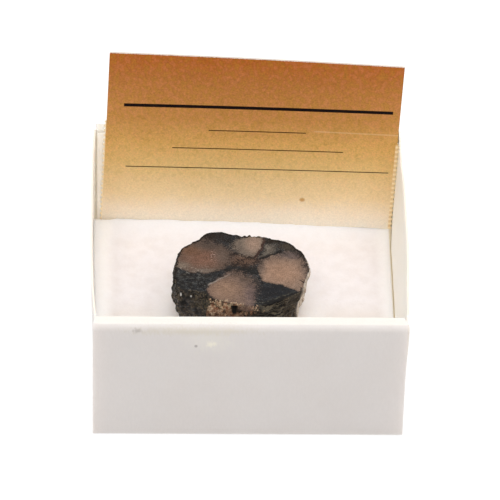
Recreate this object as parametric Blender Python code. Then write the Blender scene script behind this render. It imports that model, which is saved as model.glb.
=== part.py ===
"""A chiastolite specimen resting on a foam pad in a folded card tray, with a label card.

Metres, +Z up. The origin is the centre of the tray's underside, the tray's front faces -Y,
and the label card leans on the rim of its back wall.
"""
import math

import bmesh
import bpy
from mathutils import Vector, noise

MM = 0.001
GAP = 0.3 * MM  # left between pieces that touch

# The tray is folded from one blank: a strip makes the floor and the rolled front and back
# walls, and each side wall has an ear at both ends that is tucked into the rolled walls.
TRAY_WIDTH = 40.0 * MM
TRAY_DEPTH = 40.0 * MM
TRAY_HEIGHT = 19.0 * MM
STRIP_CARD = 0.45 * MM
FOOT_FOLD = 0.375 * MM  # radius of the fold between floor and wall, at mid card
RIM_LEAN = 0.7 * MM  # how far the rolled walls lean out at the top
RIM_OUTER_FOLD = 0.575 * MM  # the rim is rolled softly on the outside
RIM_INNER_FOLD = 0.25 * MM  # and creased on the inside
FRONT_RIM_INSIDE = 18.3 * MM  # inner face of the front rim, from the middle of the tray
BACK_RIM_INSIDE = 18.65 * MM
FLAP_FOOT = 18.3 * MM  # where the inner flap stands
FLAP_LIFT = 0.75 * MM  # its cut edge stands just clear of the floor
FLAP_TRIM = 0.7 * MM  # it is cut narrower than the wall, to pass between the side walls
SIDE_CARD = 0.32 * MM
SIDE_INSET = 0.02 * MM
SIDE_HEIGHT = 18.7 * MM
SIDE_ROOT = 0.2 * MM  # its foot is inside the thickness of the floor
LEFT_BOW = 0.25 * MM  # how far the rim of each side wall bulges outwards
RIGHT_BOW = 0.45 * MM
BOW_FLATNESS = 8  # power: the bulge is even along the wall and dies out near its ends
BOW_RISE = 1.3  # power: and it grows from nothing at the floor
CORNER_FOLD = 0.45 * MM
EAR_LENGTH = 10.5 * MM
EAR_FOOT = 19.04 * MM
EAR_TOP = 19.58 * MM
EAR_LOW = 0.8 * MM
EAR_HIGH = 18.15 * MM

# The pad is cut a little askew at the back, which leaves a slot for the card.
PAD_HALF_WIDTH = 19.35 * MM
PAD_FRONT = -17.75 * MM
PAD_BACK_LEFT = 17.0 * MM
PAD_BACK_RIGHT = 15.4 * MM
PAD_BACK_SLOPE = 0.2 * MM
PAD_FOOT = STRIP_CARD + GAP
PAD_TOP = 4.8 * MM
PAD_BREAK = 8.0 * MM  # behind here its top rises towards the back edge
PAD_RISE_LEFT = 0.4 * MM
PAD_RISE_RIGHT = 0.1 * MM
PAD_EDGE = 0.3 * MM

# The card's corners on its middle surface
LABEL_CARD = 0.28 * MM
LABEL_FOOT = STRIP_CARD + GAP
LABEL_CORNERS = {
    "foot_left": Vector((-19.15 * MM, 17.25 * MM, LABEL_FOOT)),
    "foot_right": Vector((19.15 * MM, 15.6 * MM, LABEL_FOOT)),
    "top_left": Vector((-18.1 * MM, 19.3 * MM, 31.9 * MM)),
    "top_right": Vector((20.2 * MM, 17.95 * MM, 30.8 * MM)),
}
LABEL_COLUMNS = 8
LABEL_ROWS = 12
LABEL_CURL = 0.2 * MM  # the middle of the top edge bends this far back
LABEL_REST = 0.58  # share of its height at which it leans on the rim
LABEL_BEND = 0.2 * MM  # and bends, its middle standing this far forward

# The stone: a slice cut across a prism. The points follow the edge of its cut top face,
# in millimetres, from its left end round the back.
STONE_EDGE = (
    (-9.4, -1.9), (-9.1, 1.3), (-8.3, 3.0), (-6.3, 4.4), (-5.8, 5.3), (-4.9, 6.05),
    (-3.5, 6.15), (-2.4, 5.6), (-0.7, 5.25), (0.6, 5.6), (2.1, 5.4), (4.9, 4.4),
    (6.4, 3.3), (7.3, 2.2), (7.8, 0.6), (8.1, -1.3), (7.4, -4.5), (6.6, -5.9),
    (2.8, -8.05), (0.2, -8.25), (-2.4, -8.0), (-4.7, -7.1), (-5.6, -6.0), (-7.5, -5.4),
    (-9.2, -4.7),
)
STONE_CENTRE = Vector((-0.8 * MM, -1.2 * MM, 0.0))
STONE_TOP = 12.0 * MM
STONE_FOOT = PAD_TOP + GAP
STONE_AROUND = 104
STONE_RINGS = 15
STONE_CHAMFER = 0.22 * MM
# How the flank leaves that edge: bearing in degrees, then how far it stands out at a
# third and two thirds of the way down and at the foot, in millimetres, and its roughness
STONE_FLANK = (
    (0.0, -0.1, -0.5, -1.3, 0.8),
    (60.0, 0.1, -0.2, -1.4, 1.3),
    (120.0, 0.3, 0.1, -1.1, 1.2),
    (180.0, 0.3, -0.6, -1.8, 0.6),
    (215.0, 0.4, 0.0, -1.3, 0.6),
    (236.0, 0.9, 1.1, 0.2, 0.9),
    (285.0, 0.1, 0.0, -0.9, 1.3),
    (328.0, -0.2, -0.6, -1.3, 1.0),
)
STONE_MEAN_RADIUS = 8.0 * MM
# Relief of the flank: how high each kind stands, and how many noise cells it has per mm
RIDGE_HEIGHT = 0.15 * MM
RIDGES = Vector((1.3, 1.3, 0.25))  # drawn out along the prism
LEDGE_HEIGHT = 0.26 * MM
LEDGES = Vector((0.35, 0.35, 0.9))
LEDGE_START = -0.05  # noise value at which a ledge begins to rise
LEDGE_WIDTH = 0.12
LUMP_HEIGHT = 0.32 * MM
LUMPS = 0.42
CHIP_DEPTH = 0.4 * MM
CHIPS = 0.9
CHIP_REACH = 1 / 6  # share of the flank's height over which the chips die out
EDGE_CALM = 0.15  # share of the relief that is left right at the edge
EDGE_REACH = 1 / 7
# Pits in the flank: bearing in degrees, depth below the top as a share, size, depth
STONE_PITS = (
    (263.0, 0.12, 0.75 * MM, 0.6 * MM),
    (226.0, 0.42, 1.1 * MM, 0.5 * MM),
    (301.0, 0.30, 0.9 * MM, 0.4 * MM),
    (172.0, 0.55, 1.2 * MM, 0.45 * MM),
    (96.0, 0.35, 1.3 * MM, 0.55 * MM),
    (48.0, 0.60, 1.1 * MM, 0.5 * MM),
    (12.0, 0.22, 0.8 * MM, 0.35 * MM),
)


def clear_scene():
    """Remove whatever objects the open file holds."""
    for thing in list(bpy.data.objects):
        bpy.data.objects.remove(thing, do_unlink=True)


def material(name, colour, roughness, metallic=0.0):
    """Return a plain Principled material."""
    finish = bpy.data.materials.new(name)
    finish.use_nodes = True
    shader = finish.node_tree.nodes["Principled BSDF"]
    shader.inputs["Base Color"].default_value = (*colour, 1.0)
    shader.inputs["Roughness"].default_value = roughness
    shader.inputs["Metallic"].default_value = metallic
    return finish


def add_object(name, bm, finish, smooth_angle=None):
    """Turn a bmesh into an object of the scene, shaded smooth below an angle."""
    bmesh.ops.recalc_face_normals(bm, faces=bm.faces)
    mesh = bpy.data.meshes.new(name)
    bm.to_mesh(mesh)
    bm.free()
    if smooth_angle is not None:
        mesh.shade_smooth()
        mesh.set_sharp_from_angle(angle=smooth_angle)
    mesh.materials.append(finish)
    thing = bpy.data.objects.new(name, mesh)
    bpy.context.scene.collection.objects.link(thing)
    return thing


def blend(start, end, share):
    """Go from start to end with an even ease in and out."""
    share = min(max(share, 0.0), 1.0)
    share = share * share * (3.0 - 2.0 * share)
    return start + (end - start) * share


def sheet(grid, thickness):
    """Return a bmesh of card around a grid of (point at mid card, unit normal) pairs."""
    bm = bmesh.new()
    half = thickness / 2
    front = [[bm.verts.new(point + normal * half) for point, normal in row] for row in grid]
    back = [[bm.verts.new(point - normal * half) for point, normal in row] for row in grid]
    last_row = len(grid) - 1
    last_column = len(grid[0]) - 1
    for i in range(last_row):
        for j in range(last_column):
            corners = ((i, j), (i + 1, j), (i + 1, j + 1), (i, j + 1))
            bm.faces.new([front[row][column] for row, column in corners])
            bm.faces.new([back[row][column] for row, column in reversed(corners)])
    border = [(i, 0) for i in range(last_row)]
    border += [(last_row, j) for j in range(last_column)]
    border += [(i, last_column) for i in range(last_row, 0, -1)]
    border += [(0, j) for j in range(last_column, 0, -1)]
    for (row, column), (next_row, next_column) in zip(border, border[1:] + border[:1]):
        bm.faces.new((
            front[row][column],
            back[row][column],
            back[next_row][next_column],
            front[next_row][next_column],
        ))
    return bm


def turned_left(line, index):
    """Return the unit normal on the left of a line of 2-D points, at one of them."""
    before = line[max(index - 1, 0)]
    after = line[min(index + 1, len(line) - 1)]
    along = Vector((after[0] - before[0], after[1] - before[1])).normalized()
    return Vector((-along.y, along.x))


def bridge(bm, upper, lower):
    """Join two rings with quads."""
    count = len(upper)
    for i in range(count):
        j = (i + 1) % count
        bm.faces.new((upper[i], lower[i], lower[j], upper[j]))


def arc(centre, radius, start, end, steps):
    """Return points on an arc, with its angles in degrees."""
    angles = [math.radians(start + (end - start) * step / steps) for step in range(steps + 1)]
    return [(centre[0] + radius * math.cos(a), centre[1] + radius * math.sin(a)) for a in angles]


def strip_half(rim_inside):
    """Return the strip from mid floor to the inner flap's edge, as (y, z, half width).

    rim_inside is the inner face of the rolled rim.
    """
    half_card = STRIP_CARD / 2
    fold = (TRAY_DEPTH / 2 - half_card - FOOT_FOLD, half_card + FOOT_FOLD)
    outer_y = TRAY_DEPTH / 2 + RIM_LEAN - half_card - RIM_OUTER_FOLD
    outer = (outer_y, TRAY_HEIGHT - half_card - RIM_OUTER_FOLD)
    inner_y = rim_inside + half_card + RIM_INNER_FOLD
    inner = (inner_y, TRAY_HEIGHT - half_card - RIM_INNER_FOLD)
    full = TRAY_WIDTH / 2
    line = [(0.0, half_card, full)]
    line += [(y, z, full) for y, z in arc(fold, FOOT_FOLD, -90.0, 0.0, 4)]
    rim = arc(outer, RIM_OUTER_FOLD, 0.0, 90.0, 8) + arc(inner, RIM_INNER_FOLD, 90.0, 180.0, 5)
    for place, (y, z) in enumerate(rim):
        trim = FLAP_TRIM * blend(0.0, 1.0, place / (len(rim) - 1))
        line.append((y, z, full - trim))
    line.append((FLAP_FOOT, FLAP_LIFT, full - FLAP_TRIM))
    return line


def tray_strip():
    """Return the bmesh of the floor with the rolled front and back walls."""
    back = strip_half(BACK_RIM_INSIDE)
    front = [(-y, z, half_width) for y, z, half_width in strip_half(FRONT_RIM_INSIDE)]
    front = list(reversed(front[1:]))
    line = front + back
    grid = []
    for index, (y, z, half_width) in enumerate(line):
        side = turned_left(line, index)
        normal = Vector((0.0, side.x, side.y))
        grid.append([(Vector((x, y, z)), normal) for x in (-half_width, half_width)])
    return sheet(grid, STRIP_CARD)


def side_line(z, bow):
    """Return the side wall's middle line at height z, from its front ear to its back ear."""
    rise = z / TRAY_HEIGHT
    ear_y = EAR_FOOT + (EAR_TOP - EAR_FOOT) * rise
    side_x = TRAY_WIDTH / 2 - SIDE_INSET - SIDE_CARD / 2
    fold = (side_x - CORNER_FOLD, ear_y - CORNER_FOLD)
    half = [(side_x - EAR_LENGTH, ear_y)]
    half += arc(fold, CORNER_FOLD, 90.0, 0.0, 4)
    wall_steps = 9
    for step in range(1, wall_steps + 1):
        y = fold[1] * (1.0 - step / wall_steps)
        bulge = bow * (1.0 - (y / fold[1]) ** BOW_FLATNESS) * rise ** BOW_RISE
        half.append((side_x + bulge, y))
    front = [(x, -y) for x, y in half]
    return front + [point for point in reversed(half[:-1])]


def tray_side(hand, bow):
    """Return the bmesh of a side wall with its two ears: hand is -1 for the left one."""
    levels = 6
    lines = {}
    count = len(side_line(0.0, bow))
    ear_points = 4
    grid = []
    for index in range(count):
        from_end = min(index, count - 1 - index)
        on_wall = min(max((from_end - ear_points) / 2, 0.0), 1.0)
        low = EAR_LOW + (SIDE_ROOT - EAR_LOW) * on_wall
        high = EAR_HIGH + (SIDE_HEIGHT - EAR_HIGH) * on_wall
        row = []
        for level in range(levels + 1):
            z = low + (high - low) * level / levels
            if z not in lines:
                lines[z] = side_line(z, bow)
            x, y = lines[z][index]
            side = turned_left(lines[z], index)
            row.append((Vector((hand * x, y, z)), Vector((hand * side.x, side.y, 0.0))))
        grid.append(row)
    return sheet(grid, SIDE_CARD)


def join_solid(target, tool):
    """Unite tool with target by a Boolean, and remove tool."""
    union = target.modifiers.new("join", "BOOLEAN")
    union.operation = "UNION"
    union.solver = "EXACT"
    union.object = tool
    graph = bpy.context.evaluated_depsgraph_get()
    joined = bpy.data.meshes.new_from_object(target.evaluated_get(graph))
    target.modifiers.remove(union)
    target.data = joined
    bpy.data.objects.remove(tool, do_unlink=True)


def make_tray():
    """The folded white card tray, as one piece."""
    finish = material("white_card", (0.80, 0.78, 0.75), 0.62)
    tray = add_object("tray", tray_strip(), finish)
    join_solid(tray, add_object("left_side", tray_side(-1, LEFT_BOW), finish))
    join_solid(tray, add_object("right_side", tray_side(1, RIGHT_BOW), finish))
    return tray


def make_foam_pad():
    """The soft pad on the floor of the tray, with rounded edges."""
    bm = bmesh.new()
    rows = (
        (PAD_FRONT, PAD_FRONT, 0.0, 0.0, 0.0),
        (PAD_BREAK, PAD_BREAK, 0.0, 0.0, 0.0),
        (PAD_BACK_LEFT, PAD_BACK_RIGHT, PAD_BACK_SLOPE, PAD_RISE_LEFT, PAD_RISE_RIGHT),
    )
    rings = []
    for left_y, right_y, slope, left_rise, right_rise in rows:
        rings.append([
            bm.verts.new((-PAD_HALF_WIDTH, left_y - slope, PAD_FOOT)),
            bm.verts.new((PAD_HALF_WIDTH, right_y - slope, PAD_FOOT)),
            bm.verts.new((PAD_HALF_WIDTH, right_y, PAD_TOP + right_rise)),
            bm.verts.new((-PAD_HALF_WIDTH, left_y, PAD_TOP + left_rise)),
        ])
    bm.faces.new(rings[0])
    bridge(bm, rings[0], rings[1])
    bridge(bm, rings[1], rings[2])
    bm.faces.new(list(reversed(rings[2])))
    bmesh.ops.recalc_face_normals(bm, faces=bm.faces)
    sharp = [edge for edge in bm.edges if edge.calc_face_angle(0.0) > math.radians(45)]
    bmesh.ops.bevel(bm, geom=sharp, offset=PAD_EDGE, segments=3, affect="EDGES")
    finish = material("white_foam", (0.88, 0.86, 0.83), 0.95)
    return add_object("foam_pad", bm, finish, math.radians(40))


def make_label_card():
    """The loose card that leans on the back rim, slightly bowed."""
    corner = LABEL_CORNERS
    across = (corner["foot_right"] - corner["foot_left"]).normalized()
    upwards = (corner["top_left"] - corner["foot_left"]).normalized()
    normal = upwards.cross(across).normalized()
    grid = []
    for row in range(LABEL_ROWS + 1):
        up = row / LABEL_ROWS
        left = corner["foot_left"].lerp(corner["top_left"], up)
        right = corner["foot_right"].lerp(corner["top_right"], up)
        bend = LABEL_BEND * min(up / LABEL_REST, (1.0 - up) / (1.0 - LABEL_REST))
        line = []
        for column in range(LABEL_COLUMNS + 1):
            share = column / LABEL_COLUMNS
            back = LABEL_CURL * math.sin(math.pi * share) * up - bend
            line.append((left.lerp(right, share) + normal * back, normal))
        grid.append(line)
    finish = material("tan_paper", (0.55, 0.33, 0.16), 0.7)
    return add_object("label_card", sheet(grid, LABEL_CARD), finish)


def smooth_edge(points, count):
    """Return count points, evenly spaced, on a closed smooth curve through the points."""
    fine = []
    steps = 24
    total = len(points)
    for i in range(total):
        p0, p1, p2, p3 = (Vector((*points[(i + k) % total], 0.0)) * MM for k in (-1, 0, 1, 2))
        for step in range(steps):
            t = step / steps
            bend = (2 * p0 - 5 * p1 + 4 * p2 - p3) * t * t + (3 * p1 - p0 - 3 * p2 + p3) * t ** 3
            fine.append(0.5 * (2 * p1 + (p2 - p0) * t + bend))
    lengths = [0.0]
    for here, there in zip(fine, fine[1:] + fine[:1]):
        lengths.append(lengths[-1] + (there - here).length)
    edge = []
    place = 0
    for k in range(count):
        target = lengths[-1] * k / count
        while lengths[place + 1] < target:
            place += 1
        share = (target - lengths[place]) / (lengths[place + 1] - lengths[place])
        edge.append(fine[place].lerp(fine[(place + 1) % len(fine)], share))
    return edge


def flank_form(bearing, down):
    """Return the offset and roughness of STONE_FLANK, eased between its rows and heights."""
    bearing %= 360.0
    after = next((row for row in STONE_FLANK if row[0] > bearing), STONE_FLANK[0])
    before = STONE_FLANK[STONE_FLANK.index(after) - 1]
    share = ((bearing - before[0]) % 360.0) / ((after[0] - before[0]) % 360.0)
    *levels, roughness = [blend(a, b, share) for a, b in zip(before[1:], after[1:])]
    levels.insert(0, 0.0)
    third = min(int(down * 3.0), 2)
    return blend(levels[third], levels[third + 1], down * 3.0 - third) * MM, roughness


def flank_offset(bearing, down, point):
    """Return how far the stone's flank stands out from the edge of its top face.

    bearing is the direction in degrees, down goes from 0 at the top to 1 at the foot.
    """
    offset, roughness = flank_form(bearing, down)
    where = point / MM
    ridges = abs(noise.noise(where * RIDGES))
    relief = RIDGE_HEIGHT * (1.0 - 3.0 * ridges)
    step = noise.noise(where * LEDGES + Vector((7.0, 0.0, 0.0)))
    relief += LEDGE_HEIGHT * (blend(0.0, 1.0, (step - LEDGE_START) / LEDGE_WIDTH) - 0.5)
    relief += LUMP_HEIGHT * noise.noise(where * LUMPS + Vector((3.0, 1.0, 5.0)))
    offset += relief * roughness
    for pit_bearing, pit_down, size, depth in STONE_PITS:
        turn = (bearing - pit_bearing + 180.0) % 360.0 - 180.0
        aside = math.radians(turn) * STONE_MEAN_RADIUS
        below = (down - pit_down) * (STONE_TOP - STONE_FOOT)
        offset -= depth * math.exp(-((aside ** 2 + below ** 2) / (size / 2) ** 2))
    return offset


def stone_ring(bm, edge, down):
    """Add one ring of the stone's flank, at a share of the way down."""
    ring = []
    height = STONE_TOP - STONE_FOOT
    for point in edge:
        out = (point - STONE_CENTRE).normalized()
        bearing = math.degrees(math.atan2(out.y, out.x))
        level = STONE_TOP - height * down
        chips = noise.noise(point / MM * CHIPS + Vector((0.0, 0.0, 9.0)))
        level -= CHIP_DEPTH * max(chips, 0.0) * max(1.0 - down / CHIP_REACH, 0.0)
        place = Vector((point.x, point.y, level))
        relief = flank_offset(bearing, down, place)
        fade = blend(EDGE_CALM, 1.0, down / EDGE_REACH)
        ring.append(bm.verts.new(place + out * relief * fade))
    return ring


def inner_ring(bm, outer, centre, share, lumps):
    """Add a ring nearer the middle of a face of the stone, raised by its lumps."""
    ring = []
    for vertex in outer:
        place = centre.lerp(vertex.co, share)
        place.z = centre.z + (vertex.co.z - centre.z) * share ** 4
        rise = max(noise.noise(place / MM * 0.5), 0.0) + 0.3 * (1.0 - share)
        place.z += lumps * rise * (1.0 - share ** 3)
        ring.append(bm.verts.new(place))
    return ring


def make_chiastolite():
    """The stone: a flat cut face on top, and a rough natural flank and underside."""
    bm = bmesh.new()
    edge = smooth_edge(STONE_EDGE, STONE_AROUND)
    start = STONE_CHAMFER / (STONE_TOP - STONE_FOOT)
    rings = []
    for step in range(STONE_RINGS + 1):
        down = start + (1.0 - start) * step / STONE_RINGS
        rings.append(stone_ring(bm, edge, down))
    top_centre = Vector((STONE_CENTRE.x, STONE_CENTRE.y, STONE_TOP))
    lip = []
    for vertex in rings[0]:
        inward = (STONE_CENTRE - vertex.co).normalized() * STONE_CHAMFER
        lip.append(bm.verts.new((vertex.co.x + inward.x, vertex.co.y + inward.y, STONE_TOP)))
    bridge(bm, lip, rings[0])
    for upper, lower in zip(rings, rings[1:]):
        bridge(bm, upper, lower)
    face = lip
    for share in (0.6, 0.25):
        ring = [bm.verts.new(top_centre.lerp(vertex.co, share)) for vertex in lip]
        bridge(bm, ring, face)
        face = ring
    bm.faces.new(face)
    foot_centre = Vector((STONE_CENTRE.x, STONE_CENTRE.y, STONE_FOOT))
    under = rings[-1]
    for share in (0.84, 0.6, 0.3):
        ring = inner_ring(bm, rings[-1], foot_centre, share, LUMP_HEIGHT)
        bridge(bm, under, ring)
        under = ring
    tip = bm.verts.new(foot_centre + Vector((0.0, 0.0, 0.3 * LUMP_HEIGHT)))
    for i, vertex in enumerate(under):
        bm.faces.new((vertex, tip, under[(i + 1) % len(under)]))
    finish = material("chiastolite_stone", (0.22, 0.16, 0.13), 0.45)
    return add_object("chiastolite", bm, finish, math.radians(35))


clear_scene()
make_tray()
make_foam_pad()
make_label_card()
make_chiastolite()
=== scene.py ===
"""A chiastolite specimen in its card tray: the cut stone, the pad under it and the label behind.

Metres, +Z up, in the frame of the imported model. The tray's front faces -Y.
"""
import math

import bmesh
import bpy
import numpy as np
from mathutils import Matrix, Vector, noise


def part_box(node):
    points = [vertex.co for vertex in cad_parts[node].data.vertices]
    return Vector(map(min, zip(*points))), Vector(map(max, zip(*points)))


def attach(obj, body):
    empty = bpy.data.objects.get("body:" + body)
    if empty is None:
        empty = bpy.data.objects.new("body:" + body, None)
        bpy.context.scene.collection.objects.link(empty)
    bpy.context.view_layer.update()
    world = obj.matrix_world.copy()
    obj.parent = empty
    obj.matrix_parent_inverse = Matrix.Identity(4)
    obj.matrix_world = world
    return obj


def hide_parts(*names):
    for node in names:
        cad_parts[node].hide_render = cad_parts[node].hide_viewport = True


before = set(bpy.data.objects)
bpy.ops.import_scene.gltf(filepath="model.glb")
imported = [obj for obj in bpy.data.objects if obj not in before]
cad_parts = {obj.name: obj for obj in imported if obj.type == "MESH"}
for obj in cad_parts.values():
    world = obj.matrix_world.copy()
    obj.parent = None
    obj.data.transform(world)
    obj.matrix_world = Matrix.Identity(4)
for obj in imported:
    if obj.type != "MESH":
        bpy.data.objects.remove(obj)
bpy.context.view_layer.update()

MM = 0.001
bpy.ops.object.select_all(action="DESELECT")

# The view: a long lens half a metre off, looking down over the tray's front wall. The light
# is a pale room, brightest overhead and behind, with a large soft box above, and the floor is
# plain and white.
CAMERA_PLACE = Vector((-14.70, -496.65, 436.56)) * MM
CAMERA_TURN = (0.86619, -0.01924, -0.01387)
CAMERA_LENS = 360.0
SENSOR_WIDTH = 36.0
FLOOR_SIZE = 6.0
FLOOR_GREY = (0.35, 0.35, 0.35, 1.0)
FLOOR_GLOW = 0.68  # it is a white panel lit from below
BRIGHTEST_WAY = (-0.1, 0.35, 0.93)
ROOM_DIMMEST = 0.42  # in front, low down
ROOM_BRIGHTEST = 1.24
SOFT_BOX_PLACE = Vector((30.0, -110.0, 420.0)) * MM
SOFT_BOX_SIZE = 0.5
SOFT_BOX_POWER = 1.0
LIGHT_WHITE = (1.0, 1.0, 1.0, 1.0)

bpy.ops.object.camera_add(location=CAMERA_PLACE, rotation=CAMERA_TURN)
camera = bpy.context.object
camera.data.lens = CAMERA_LENS
camera.data.sensor_width = SENSOR_WIDTH
bpy.context.scene.camera = camera

towards_box = (-SOFT_BOX_PLACE).to_track_quat("-Z", "Y").to_euler()
bpy.ops.object.light_add(type="AREA", location=SOFT_BOX_PLACE, rotation=towards_box)
soft_box = bpy.context.object
soft_box.data.size = SOFT_BOX_SIZE
soft_box.data.energy = SOFT_BOX_POWER


class Value:
    """A number that varies over a surface. Arithmetic on values adds Math nodes."""

    def __init__(self, nodes, socket):
        self.nodes = nodes
        self.socket = socket

    def math(self, operation, first, second):
        return self.nodes.node("ShaderNodeMath", {"operation": operation}, {0: first, 1: second})

    def __add__(self, other):
        return self.math("ADD", self, other)

    def __sub__(self, other):
        return self.math("SUBTRACT", self, other)

    def __rsub__(self, other):
        return self.math("SUBTRACT", other, self)

    def __mul__(self, other):
        return self.math("MULTIPLY", self, other)

    def __truediv__(self, other):
        return self.math("DIVIDE", self, other)

    def __pow__(self, other):
        return self.math("POWER", self, other)

    def __abs__(self):
        return self.math("ABSOLUTE", self, 0.0)

    __radd__ = __add__
    __rmul__ = __mul__


class Nodes:
    """The nodes of the room or of a finish, with one method that adds any node."""

    def __init__(self, owner):
        owner.use_nodes = True
        self.tree = owner.node_tree

    def node(self, kind, settings, sockets, output=0):
        """Add a node, set it up, feed its sockets, and return one of its outputs."""
        made = self.tree.nodes.new(kind)
        for name, value in settings.items():
            if name == "stops":
                spread_stops(made.color_ramp, value)
            else:
                setattr(made, name, value)
        for name, value in sockets.items():
            if isinstance(value, Value):
                self.tree.links.new(value.socket, made.inputs[name])
            else:
                made.inputs[name].default_value = value
        return made if output is None else Value(self, made.outputs[output])

    def dot(self, vector, way):
        """Return how far a vector goes along a way."""
        settings = {"operation": "DOT_PRODUCT"}
        return self.node("ShaderNodeVectorMath", settings, {0: vector, 1: way}, "Value")


def spread_stops(ramp, stops):
    """Give a colour ramp its stops, as (position, colour) pairs."""
    while len(ramp.elements) < len(stops):
        ramp.elements.new(1.0)
    for element, (position, colour) in zip(ramp.elements, stops):
        element.position = position
        element.color = colour


room = bpy.data.worlds.new("room")
sky = Nodes(room)
way = sky.node("ShaderNodeTexCoord", {}, {}, "Generated")
towards = sky.dot(way, BRIGHTEST_WAY)
room_range = {"From Min": -BRIGHTEST_WAY[1], "To Min": ROOM_DIMMEST, "To Max": ROOM_BRIGHTEST}
settings = {"interpolation_type": "SMOOTHSTEP"}
brightness = sky.node("ShaderNodeMapRange", settings, {"Value": towards, **room_range})
backdrop = room.node_tree.nodes["Background"]
backdrop.inputs["Color"].default_value = LIGHT_WHITE
room.node_tree.links.new(brightness.socket, backdrop.inputs["Strength"])
bpy.context.scene.world = room
bpy.context.scene.view_settings.view_transform = "Standard"

bpy.ops.mesh.primitive_plane_add(size=FLOOR_SIZE, location=(0.0, 0.0, 0.0))
floor = bpy.context.object
floor.name = "floor"
floor_paint = bpy.data.materials.new("floor_paint")
floor_paint.use_nodes = True
floor_shader = floor_paint.node_tree.nodes["Principled BSDF"]
floor_shader.inputs["Base Color"].default_value = FLOOR_GREY
floor_shader.inputs["Emission Color"].default_value = LIGHT_WHITE
floor_shader.inputs["Emission Strength"].default_value = FLOOR_GLOW
floor_shader.inputs["Roughness"].default_value = 0.9
floor_shader.inputs["Specular IOR Level"].default_value = 0.1
floor.data.materials.append(floor_paint)


# The tray: a small box folded from one blank of white card, its outside painted in shade.
# One strip makes the floor and the front and back walls, which are rolled over at the rim into
# double walls.
TRAY_WIDTH = 40.0 * MM
FRONT_FOOT = 20.25 * MM  # outer face of the front wall at the floor, from the middle
BACK_FOOT = 20.0 * MM
CARD_THICK = 0.45 * MM
HALF_CARD = CARD_THICK / 2
FOOT_FOLD = 0.26 * MM  # radius at mid card
RIM_OUTER_FOLD = 0.575 * MM
RIM_INNER_FOLD = 0.25 * MM
FRONT_RIM_INSIDE = 18.42 * MM  # inner face of the front rim
BACK_RIM_INSIDE = 18.65 * MM
FRONT_FLAP_FOOT = 18.3 * MM  # how far the inner flap's cut edge is from the middle
BACK_FLAP_FOOT = 17.8 * MM  # the label's foot presses the back one in
FLAP_FOOT_HEIGHT = 0.75 * MM
FLAP_TRIMS = (0.22 * MM, 0.34 * MM)  # the flap is this much narrower at its left and right
FRONT_FLARE = 0.22 * MM  # the front wall is splayed this much at its upper right
FLARE_FROM = 18.8 * MM  # only further out than this
WALL_STEPS = 12
TRAY_COLUMNS = 40
CUT_EDGE = 0.05 * MM
RIGHT_ANGLE = math.radians(90)
TINY = 0.02 * MM
SHARP_ANGLE = math.radians(60)
SMOOTH_ANGLE = math.radians(40)
tray_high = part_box("tray")[1]
TRAY_TOP = tray_high.z


def edit(piece):
    """Go into edit mode on one piece, with nothing selected."""
    bpy.ops.object.select_all(action="DESELECT")
    piece.select_set(True)
    bpy.context.view_layer.objects.active = piece
    bpy.ops.object.mode_set(mode="EDIT")
    bpy.ops.mesh.select_all(action="DESELECT")


def pick(piece, test):
    """In edit mode, select the vertices whose place passes a test, and what they span."""
    mesh = bmesh.from_edit_mesh(piece.data)
    for vertex in mesh.verts:
        vertex.select = test(vertex.co)
    mesh.select_flush_mode()
    bmesh.update_edit_mesh(piece.data)


def draw_out(y, z, steps=1):
    """In edit mode, extrude what is selected by y and z in even steps."""
    for _ in range(steps):
        move = {"value": (0.0, y / steps, z / steps)}
        bpy.ops.mesh.extrude_region_move(TRANSFORM_OT_translate=move)


def ease(share):
    """Go from 0 to 1 with an even ease in and out."""
    share = min(max(share, 0.0), 1.0)
    return share * share * (3.0 - 2.0 * share)


def thicken(piece, thickness, edge):
    """Give a sheet its thickness, both ways from its middle, and break its cut edges."""
    bpy.ops.object.mode_set(mode="OBJECT")
    solid = piece.modifiers.new("thickness", "SOLIDIFY")
    solid.thickness = thickness
    solid.offset = 0.0
    solid.use_even_offset = True
    bpy.ops.object.modifier_apply(modifier=solid.name)
    softened = piece.modifiers.new("cut edge", "BEVEL")
    softened.width = edge
    softened.segments = 2
    softened.limit_method = "ANGLE"
    softened.angle_limit = SHARP_ANGLE
    bpy.ops.object.modifier_apply(modifier=softened.name)
    bpy.ops.object.shade_smooth_by_angle(angle=SMOOTH_ANGLE)


fold_inset = HALF_CARD + FOOT_FOLD
outer_y = tray_high.y - HALF_CARD - RIM_OUTER_FOLD
rim_z = TRAY_TOP - HALF_CARD
roll_z = rim_z - RIM_OUTER_FOLD  # the outer wall is rolled in from here up
bpy.ops.mesh.primitive_grid_add(x_subdivisions=TRAY_COLUMNS, y_subdivisions=1, size=1.0)
strip = bpy.context.object
strip.name = "tray_strip"
strip.scale = (TRAY_WIDTH, FRONT_FOOT + BACK_FOOT - 2 * fold_inset, 1.0)
strip.location = (0.0, (BACK_FOOT - FRONT_FOOT) / 2, HALF_CARD)
bpy.ops.object.transform_apply(location=True, rotation=False, scale=True)
edit(strip)
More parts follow.
